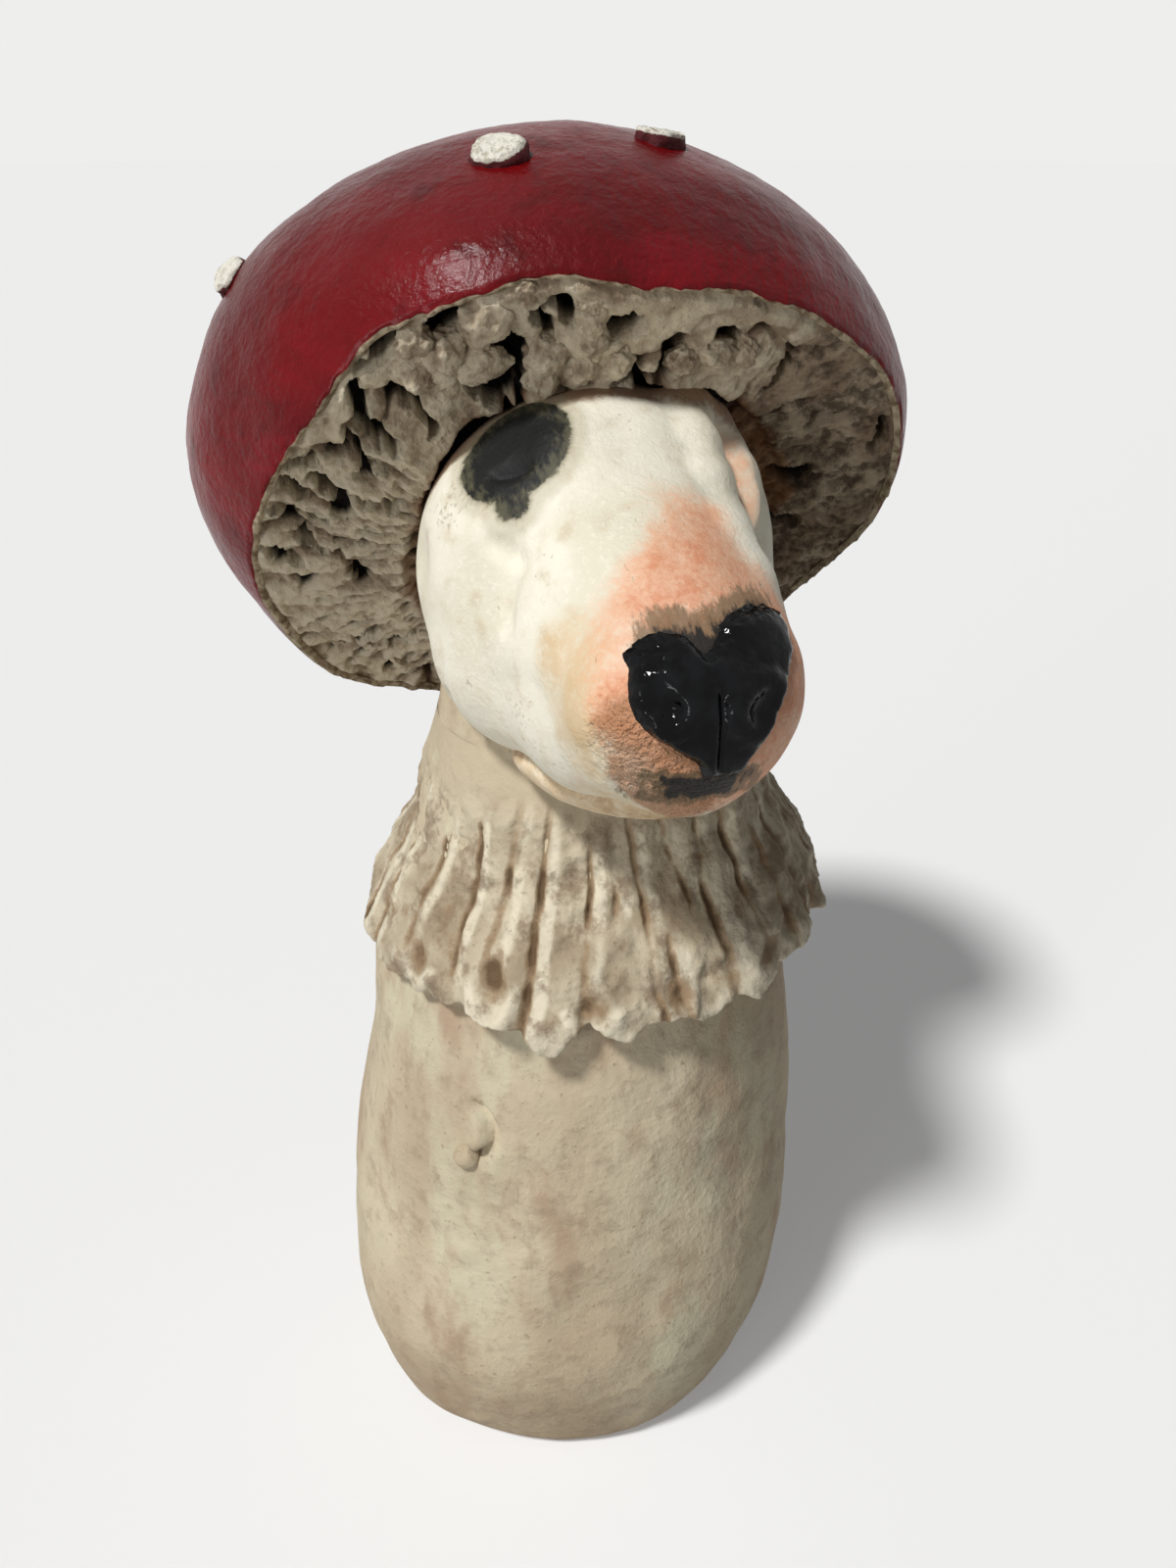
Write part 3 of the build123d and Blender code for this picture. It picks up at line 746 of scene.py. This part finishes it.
def gill_height(turn, reach):
    """How far torn clay stands out; how high its lumps are, lowered on the right as painted shade of the
    head; how open it is, painted near-black as shade; and how far past the head.
    """
    spot = gill_spot(turn, reach)
    front = 1 - smooth(34, 62, abs(angle_past(turn, GILL_FRONT)))
    right = (1 - smooth(40, 75, abs(angle_past(turn, GILL_RIGHT)))) * (1 - front)
    side = 1 - front
    inward = 1 - smooth(25, 40, reach)
    bend = radians(turn + 7 * grain(spot, 9, 4))
    fibre = Vector((cos(bend) * 34, sin(bend) * 34, reach * 0.34))
    wander = spot + Vector((grain(spot, 4, 1), grain(spot, 4, 2), 0))
    pressed, strung = popcorn(wander, 4.6, 2), popcorn(fibre, 2.6, 6)
    lumps = side * (1 - 0.45 * right) * (2.2 * strung + 0.6 * grain(fibre, 1.1, 9) - 1.2)
    lumps += front * (1.7 * pressed - 1.0 + 0.4 * grain(spot, 6, 3))
    lumps += 0.4 * side * rough(fibre, 1.0, 3)
    parted = front * smooth(0.55, 0.3, pressed) + side * (1 - right) * smooth(0.5, 0.25, strung)
    lumps += (0.34 + 0.2 * side) * rough(wander, 2.2, 5) + 0.15 * rough(spot, 1.0, 8)
    hole = torn_open(turn, spot)
    cracks = side * (1 - right) * smooth(0.22, 0.36, grain(fibre, 1.25, 12) + 0.2 * grain(spot, 3, 3))
    cracks *= smooth(41, 38, reach)
    band = smooth(38.8, 39.9, reach + grain(spot, 4, 8))
    band *= 1 - smooth(24, 44, abs(angle_past(turn, GILL_BAND)))
    past_head = reach - along(HEAD_EDGE, turn) + 0.6 * grain(spot, 2.5, 7)
    gap = (1 - smooth(0.2, 1.5, past_head)) * (front + 0.35 * side)
    stand = -0.4 + 0.4 * front + inward * (2.6 * side * (1 - right) - 1.8 * right)
    stand += lumps * (1 - band) + 0.9 * band
    stand *= 1 - smooth(40.8, 42.0, reach)
    parted *= (1 - band) * smooth(41, 38, reach)
    stand -= 5.5 * hole * (1 - 0.8 * band) + 2.2 * cracks + 2.5 * parted + 4.0 * gap
    stand -= 0.25 * smooth(41.2, 42.0, reach)
    stand += 0.14 * rough(spot, 0.9, 9)
    # The lump height, less on the right, paints the head's shade there; the openness of holes, cracks,
    # creases and the gap by the head is painted near-black as shade
    return stand, lumps - 1.1 * right, max(hole, 0.95 * cracks, 0.95 * gap, 0.9 * parted), past_head


def mouth_place(around, reach, stand):
    """A point in the mouth: an angle in radians, a reach evened to the rim, and how far it stands out."""
    flat, way = mouth_way(around, 0), mouth_way(around, rim_angle(around))
    near = MOUTH_MIDDLE + flat * GILL_CENTRE
    rim = MOUTH_MIDDLE + way * to_cap(MOUTH_MIDDLE, way, 0.75) + flat * rim_wave(degrees(around))
    return near + (rim - near) * (reach - GILL_CENTRE) / (GILL_EDGE - GILL_CENTRE) - MOUTH_IN * stand


def gill_point(around, share):
    """Torn face from neck to rim, then in behind the lip, back and round again to the neck."""
    if share < FACE_END:
        reach = GILL_CENTRE + (GILL_EDGE - GILL_CENTRE) * share / FACE_END
        stand, lumps, deep, past_head = gill_height(angle_past(degrees(around), 0), reach)
        point = mouth_place(around, reach, stand)
        rust = 0.8 * (1 - smooth(0.4, 3.2, past_head + 1.2 * grain(point, 3, 3)))
        # The lump height paints chalky tops lighter, partly as painted light, and low places darker as
        # painted shade; deep paints holes near-black as shade
        return point, smooth(-1.2, 1.4, lumps), deep, rust
    if share < EDGE_END:
        point = mouth_place(around, GILL_EDGE, -0.8 - 9.0 * (share - FACE_END) / (EDGE_END - FACE_END))
    elif share < BACK_END:
        gone = (share - EDGE_END) / (BACK_END - EDGE_END)
        point = mouth_place(around, GILL_EDGE - (GILL_EDGE - GILL_CENTRE) * gone, -BACK_DEPTH)
    else:
        point = mouth_place(around, GILL_CENTRE, -BACK_DEPTH + 7.0 * (share - BACK_END) / (1 - BACK_END))
    return point, 0.0, 0.0, 0.0


def build_gills():
    gills = ring(860, 112, GILL_CARRIES, gill_point)
    make_piece(gills, "gills", GILL_CLAY, "gill_clay", "gill_bed")


def build_crumbs():
    """Torn pellets pressed into the gills above the brow, each painted near-black as shade on its back
    where it sits on the gills.
    """
    bm = bmesh.new()
    luck = random.Random(5)
    layers = [bm.verts.layers.float.new(name) for name in GILL_CARRIES]
    for turn, reach, wide in CRUMBS:
        shift = Vector([luck.uniform(-9, 9) for _ in range(3)])
        stretch = Vector((luck.uniform(0.85, 1.2), luck.uniform(0.85, 1.2), 0.85))
        seat = mouth_place(radians(turn), reach, 0.5 - 0.45 * wide)
        made = bmesh.ops.create_icosphere(bm, subdivisions=5, radius=1)
        for v in made["verts"]:
            way = v.co.normalized()
            lumps = 0.30 * rough(way + shift, 1.0, 3, 5) + 0.1 * rough(way + shift, 0.45, 5)
            v.co = seat + MOUTH_AXES @ (way * stretch) * wide * (1.0 + lumps)
            outward = way.x * cos(radians(turn)) + way.y * sin(radians(turn))
            past_head = reach + wide * outward - along(HEAD_EDGE, turn)
            # Near-black on each pellet's back, where it meets the gills: painted shade
            values = (0.55 + lumps, smooth(0.5, 0.9, way.z), 0.7 * (1 - smooth(0.2, 2.6, past_head)))
            for layer, value in zip(layers, values):
                v[layer] = value
    make_piece(bm, "crumbs", GILL_CLAY, "gill_clay", "gill_crumbs")


# Warts

WART_RADIUS = 3.2


def build_wart(number, down, around):
    """A pellet torn flat across its top, leaning a little, with glaze up its sides."""
    wide, tall = CAP_RADIUS * sin(radians(down)), CAP_HALF_HEIGHT * cos(radians(down))
    root = CAP @ Vector((wide * cos(radians(around)), wide * sin(radians(around)), tall))
    turn = cap_normal(root).to_track_quat("Z", "Y").to_matrix()
    shift = Vector((number * 3.1, number * 1.7, 0))
    stubby = 0.55 if number == 2 else 1.0

    def wart_point(way):
        size = WART_RADIUS * (0.98 + 0.36 * grain(way + shift, 0.9, 1) + 0.12 * grain(way + shift, 0.35, 2))
        spot = Vector((way.x * size, way.y * size * 0.82, way.z * WART_RADIUS))
        cut = 1.7 * stubby + 0.25 * spot.x * cos(number) + 0.2 * spot.y * sin(2 * number)
        top = 1.0 if spot.z > cut - 0.25 else 0.7 * smooth(cut - 1.2, cut - 0.1, spot.z)
        if spot.z > cut:
            spot.z = cut + 0.3 * rough(spot + shift * 5, 1.6, 2)
        return root + turn @ spot, top

    wart = pellet(5, ["top"], wart_point)
    make_piece(wart, f"wart_top_{number}", WART_CLAY, "wart_clay", f"wart_{number}")


# Head

HEAD_MIDDLE, HEAD_REACH = -17.0, 33.0

# Half width, top, widest height and underside of the head, from its back at -1 to the muzzle's end at 1
HEAD_WIDTH = [(-1.0, 25.0), (-0.5, 25.2), (-0.21, 24.0), (0.0, 21.8), (0.3, 18.6), (0.6, 18.6),
              (0.8, 21.4), (0.92, 22.6), (1.0, 23.0)]
HEAD_TOP = [(-1.0, 172.0), (-0.5, 173.5), (-0.21, 172.8), (0.0, 170.3), (0.3, 164.8), (0.6, 161.5),
            (0.8, 161.5), (0.92, 160.5), (1.0, 159.0)]
HEAD_CORE = [(-1.0, 149.0), (-0.5, 149.0), (0.0, 148.0), (0.3, 146.4), (0.6, 144.6), (0.8, 144.0),
             (1.0, 145.0)]
HEAD_UNDER = [(-1.0, 126.0), (-0.5, 124.5), (-0.21, 125.0), (0.0, 126.0), (0.3, 126.8), (0.6, 127.2),
              (0.8, 123.4), (0.92, 121.0), (1.0, 119.0)]


def marks(*rows):
    """Rows of marks, each with its first places as points and the rest as numbers."""
    return [[Vector(item) if isinstance(item, tuple) else item for item in row] for row in rows]


# Thumb marks on the head: middle, radius and how far the clay is pushed out
HEAD_DABS = marks(
    ((-11.3, -13.0, 165.0), 8.5, -1.1), ((-10.2, -17.6, 165.0), 3.2, -0.5),
    ((20.6, -27.0, 155.0), 7.0, -2.6), ((16.8, -8.5, 169.5), 6.5, 2.2), ((22.0, -13.0, 163.0), 5.0, 0.8),
    ((20.5, -9.5, 166.5), 5.0, 1.6), ((13.4, -12.0, 170.0), 5.5, 1.5), ((13.0, -17.5, 167.3), 4.6, 1.5),
    ((13.0, -22.5, 164.4), 4.6, 1.4), ((13.8, -28.0, 160.0), 5.0, 1.1), ((15.6, -32.5, 156.0), 5.0, 0.8),
    ((23.4, -23.0, 152.5), 10.0, -2.2), ((-3.5, -20.0, 168.5), 7.0, 0.6),
    ((-16.5, -24.0, 152.0), 9.0, -0.9), ((-20.0, -8.0, 152.5), 5.5, -0.9),
    ((-14.0, -15.0, 134.0), 14.0, 2.6), ((-8.5, -32.0, 133.5), 13.0, 2.6),
    ((20.4, -15.0, 134.0), 14.0, 2.4), ((15.0, -32.0, 133.5), 13.0, 1.6), ((3.2, -41.0, 131.0), 9.0, 0.8),
    ((-15.6, -12.0, 131.5), 3.6, -1.6), ((22.0, -12.0, 131.5), 3.6, -1.6),
    ((3.2, -36.0, 160.0), 9.0, 0.5), ((-10.5, -46.0, 139.0), 4.0, 0.6))

# Creases on the head: both ends, half width and how far the clay is pushed out
HEAD_CREASES = marks(
    ((-12.2, -15.9, 164.5), (-8.8, -18.6, 165.6), 1.1, -1.0),
    ((-12.1, -17.8, 163.2), (-9.2, -20.0, 164.2), 1.3, 0.25),
    ((-14.2, -22.0, 158.0), (-11.0, -25.5, 156.5), 2.2, -0.8),
    ((-12.0, -24.0, 159.0), (-14.5, -27.0, 150.0), 2.4, -0.7),
    ((-16.2, -13.5, 138.0), (-15.0, -10.5, 130.5), 1.5, -0.9),
    ((17.8, -14.0, 165.6), (18.4, -23.0, 159.5), 3.6, -2.4))

# Colours rubbed on the head, with painted shade in the far eye socket: both ends of the stroke, its reach
# and its strength
HEAD_RUBS = {
    "blush_and_socket_shade": marks(
        ((3.4, -38.5, 158.0), (2.4, -43.5, 154.0), 9.5, 0.8),
        ((4.8, -29.0, 163.0), (3.4, -38.5, 158.0), 10.5, 0.5),
        ((-4.5, -39.0, 155.0), (-7.5, -44.5, 149.0), 8.5, 0.6),
        ((12.0, -45.0, 150.0), (3.0, -48.0, 136.0), 11.0, 0.9),
        ((17.0, -41.0, 150.0), (15.0, -42.0, 137.0), 13.0, 1.0),
        ((-6.0, -46.5, 147.0), (2.0, -49.0, 139.0), 6.0, 0.9),
        ((9.5, -31.5, 160.5), (10.5, -41.0, 154.0), 8.0, 0.55),
        # Peach-tan in the far eye socket: painted shade of the hollow
        ((19.0, -13.5, 164.5), (18.5, -24.0, 157.5), 6.0, 0.62)),
    "ochre": marks(
        ((-10.5, -38.0, 150.0), (-9.8, -43.0, 145.0), 10.0, 0.9),
        ((-6.0, -40.0, 134.0), (3.0, -41.0, 130.0), 11.0, 0.7)),
    "grit": marks(
        ((-5.5, -46.5, 137.5), (-1.0, -46.0, 133.0), 5.5, 0.8),
        ((-6.0, -46.0, 144.6), (-0.8, -48.5, 138.2), 7.0, 1.0),
        ((-1.5, -48.5, 137.5), (3.5, -46.0, 131.5), 7.0, 0.7),
        ((-4.0, -47.5, 145.0), (1.5, -49.0, 139.0), 5.0, 0.8))}
EYE_PATCH, EYE_PATCH_RADIUS = Vector((-9.0, -14.6, 166.3)), 7.4
EYE_TAIL = marks(((-10.2, -17.5, 163.8), (-10.7, -20.4, 161.6)))[0]

# Half widths of the nose at heights, left and right, and how far back its glaze and its dry brushing go
NOSE_FOOT = 138.4
NOSE_LEFT = [(NOSE_FOOT, 2.2), (140.5, 2.7), (142, 3.9), (143.2, 5.6), (144.4, 7.4), (146, 8.7),
             (150.5, 9.0), (153.5, 8.3), (156, 6.6)]
NOSE_RIGHT = [(NOSE_FOOT, 2.6), (140.2, 3.8), (142.3, 5.3), (144.3, 6.4), (146.1, 7.5), (148, 9.0),
              (150, 10.9), (153, 11.3), (156, 10)]
NOSE_BACK = [(-9, -43.0), (-5, -43.2), (-2.6, -43.8), (-0.6, -45.4), (1.4, -44.0), (4, -42.0), (8, -40.0),
             (12, -38.0)]
BRUSH_BACK = [(-9, -41.6), (-4, -41.2), (0, -42.3), (4, -40.4), (8, -38.2), (12, -36.4)]
LIP_PATCH = Vector((2.0, -48.0, 137.5))
UNPAINTED = -9.0
GRITTY = Vector((-4.5, -46.0, 140.0))


def head_point(way):
    """A point of the head in a direction from its middle, before the thumb marks."""
    front = -way.y
    core = along(HEAD_CORE, front)
    tall = along(HEAD_TOP, front) - core if way.z > 0 else core - along(HEAD_UNDER, front)
    x, y = HEAD_X + along(HEAD_WIDTH, front) * way.x, HEAD_MIDDLE - HEAD_REACH * front
    return Vector((x, y, core + tall * way.z))


def inside_nose(point, back, inset=0.0):
    """How far a point on the muzzle's end lies inside the nose's outline, less an inset at its sides."""
    x, z = point.x - HEAD_X, point.z
    sides = min(x + along(NOSE_LEFT, z), along(NOSE_RIGHT, z) - x)
    return min(sides - inset, z - NOSE_FOOT - inset, 0.8 * (along(back, x) - point.y))


def head_colours(point):
    """What a point of the head carries: rubbed colours with painted shade in the far eye socket, the rust
    by the gills, and the black brushing.
    """
    rubbed = []
    for name in ("blush_and_socket_shade", "ochre", "grit"):
        rubbed.append(min(1.0, sum(strength * dab(near_line(point, start, end), reach)
                                   for start, end, reach, strength in HEAD_RUBS[name])))
    rust = smooth(-5.2, -0.8, (MOUTH_BACK @ point).z + 1.2 * grain(point, 4, 1))
    patch = max(EYE_PATCH_RADIUS - (point - EYE_PATCH).length, 2.3 - near_line(point, *EYE_TAIL))
    aside, above = abs(point.x - LIP_PATCH.x), abs(point.z - LIP_PATCH.z)
    lip = 4.8 - max(0.7 * aside, 1.9 * above) + 1.5 * grain(point, 2, 5)
    lip = lip if point.y < -42 else UNPAINTED
    return *rubbed, rust, patch, max(inside_nose(point, BRUSH_BACK, 1.0), lip)


def build_head():
    bm = pellet(7, [*HEAD_CARRIES, "nose"], lambda way: (head_point(way),))
    bm.normal_update()
    thumbed = []
    for v in bm.verts:
        push = 0.35 * grain(v.co, 14, 3) + 0.16 * grain(v.co, 5, 5)
        push += sum(amount * dab((v.co - middle).length, wide) for middle, wide, amount in HEAD_DABS)
        push += sum(amount * dab(near_line(v.co, start, end), wide)
                    for start, end, wide, amount in HEAD_CREASES)
        push += 0.35 * dab((v.co - GRITTY).length, 9.0) * rough(v.co, 1.1, 4)
        thumbed.append(v.co + v.normal * push)
    layers = [bm.verts.layers.float[name] for name in (*HEAD_CARRIES, "nose")]
    for v, point in zip(bm.verts, thumbed):
        v.co = point
        for layer, value in zip(layers, (*head_colours(point), inside_nose(point, NOSE_BACK))):
            v[layer] = value
    build_nose(bm)
    make_piece(bm, "head", HEAD_SLIP, "head_slip", "dog_head")


NOSTRILS = marks(((-3.4, -48.0, 148.6), (-2.2, -48.6, 147.4), 1.5),
                 ((8.2, -49.0, 147.0), (7.0, -49.2, 146.2), 1.5))


def build_nose(head):
    """The pad of thick glaze, lifted off the head's skin inside the outline, with nostrils and groove."""
    bm = head.copy()
    inside = bm.verts.layers.float["nose"]
    bmesh.ops.delete(bm, geom=[v for v in bm.verts if v[inside] < -0.5], context="VERTS")
    bmesh.ops.subdivide_edges(bm, edges=bm.edges, cuts=1, use_grid_fill=True)
    bm.normal_update()
    poured = []
    for v in bm.verts:
        lift = -0.4 + 1.4 * smooth(-0.5, 2.0, v[inside] + 0.35 * rough(v.co, 1.6, 5))
        for start, end, wide in NOSTRILS:
            gap = near_line(v.co, start, end)
            lift += 0.4 * dab(abs(gap - 2.4), 1.6) - 0.85 * dab(gap, 1.2 * wide)
        groove = dab(abs(v.co.x - HEAD_X + 0.1 + 0.3 * grain(v.co, 4, 3)), 0.8)
        lift -= 0.6 * groove * smooth(150.0, 147.5, v.co.z) * smooth(139, 141, v.co.z)
        lift += 0.34 * grain(v.co, 4.4, 6) + 0.06 * grain(v.co, 1.5, 2)
        poured.append(v.co + v.normal * lift)
    for v, point in zip(bm.verts, poured):
        v.co = point
    made = bmesh.ops.extrude_face_region(bm, geom=list(bm.faces), use_keep_orig=True)
    back = [item for item in made["geom"] if isinstance(item, bmesh.types.BMVert)]
    bmesh.ops.translate(bm, vec=(0, 1.5, 0), verts=back)
    make_piece(bm, "nose", NOSE_GLAZE, "nose_glaze", "nose_pad")


def jaw_point(way):
    """The strip of the lower lip, rolled under the cheeks and muzzle, and the colours that it carries."""
    front = 0.5 - 0.5 * way.y
    x, y = HEAD_X + (17.6 - 6.0 * front) * way.x, -24.0 + 16.0 * way.y
    point = Vector((x, y, 128.2 + 2.2 * front + 5.6 * way.z))
    point += way * (0.5 * grain(point, 7, 2) + 0.2 * grain(point, 2.4, 5))
    ochre, rust = 0.85 + 0.3 * grain(point, 5, 7), 0.45 + 0.4 * grain(point, 6, 3)
    return point, 0.0, ochre, 0.0, rust, UNPAINTED, UNPAINTED


def build_jaw():
    make_piece(pellet(6, HEAD_CARRIES, jaw_point), "jaw", HEAD_SLIP, "head_slip", "lower_jaw")


# Floor, light and camera

def build_stage():
    """White paper under the object. To the lens it glows a little, which lightens its shadow."""
    bm = bmesh.new()
    bmesh.ops.create_circle(bm, cap_ends=True, segments=96, radius=6.0)
    mesh = bpy.data.meshes.new("studio_floor")
    bm.to_mesh(mesh)
    bm.free()
    paper = bpy.data.objects.new("studio_floor", mesh)
    scene.collection.objects.link(paper)
    material, tree, _ = bare_material("white_paper")
    seen = seen_directly(tree)
    tint = add(tree, "Mix", seen, "#c2c2c0", "#dddddc", data_type="RGBA")
    glow = add(tree, "Math", seen, 0.21, operation="MULTIPLY")
    mesh.materials.append(fired(material, tree, tint, [], Roughness=0.9, Specular_IOR_Level=0.0,
                                Emission_Color="#ffffff", Emission_Strength=glow))


def seen_directly(tree):
    """1 for the rays that the lens, a gloss or a glass sends, and 0 for those that only carry light."""
    camera, glossy, clear = (add(tree, "LightPath", output=name)
                             for name in ("Is Camera Ray", "Is Glossy Ray", "Is Transmission Ray"))
    either = add(tree, "Math", glossy, clear, operation="MAXIMUM")
    return add(tree, "Math", camera, either, operation="MAXIMUM")


def add_sun(name, toward, softness, strength):
    """A broad far lamp that shines from a direction."""
    lamp = bpy.data.lights.new(name, "SUN")
    lamp.angle = radians(softness)
    lamp.energy = strength
    made = bpy.data.objects.new(name, lamp)
    made.location = toward
    made.rotation_euler = Vector(toward).to_track_quat("Z", "Y").to_euler()
    scene.collection.objects.link(made)


def camera_side(right, away, up):
    """A place as the camera sees it: to the right, away and up, in metres."""
    turn = radians(VIEW_TURN)
    return (right * cos(turn) - away * sin(turn), right * sin(turn) + away * cos(turn), up)


def light_and_camera():
    add_sun("window", camera_side(-0.36, -0.41, 0.84), softness=8, strength=3.0)
    add_sun("reflector", camera_side(-0.62, -0.78, 0.05), softness=20, strength=1.2)
    world = bpy.data.worlds.new("studio")
    scene.world = world
    world.use_nodes = True
    tree = world.node_tree
    tree.nodes.clear()
    room = add(tree, "Background", "#ffffff", 0.05)
    backdrop = add(tree, "Background", "#eeeeed", 1.0)
    add(tree, "OutputWorld", add(tree, "MixShader", seen_directly(tree), room, backdrop))
    lens = bpy.data.cameras.new("camera")
    lens.sensor_fit = "VERTICAL"
    lens.sensor_height = 36
    lens.lens = 28
    lens.clip_start = 0.01
    made = bpy.data.objects.new("camera", lens)
    made.location = camera_side(0.0045, -0.160, 0.2014)
    made.rotation_euler = (radians(90 - VIEW_DOWN), 0, radians(VIEW_TURN))
    scene.collection.objects.link(made)
    scene.camera = made


build_stem()
build_pip()
build_skirt()
build_cap()
build_gills()
build_crumbs()
for number, (down, around) in enumerate(WARTS, start=1):
    build_wart(number, down, around)
build_head()
build_jaw()
disc_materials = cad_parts["foot_disc"].data.materials
disc_materials.clear()
disc_materials.append(STEM_CLAY)
build_stage()
light_and_camera()
scene.view_settings.view_transform = "Standard"
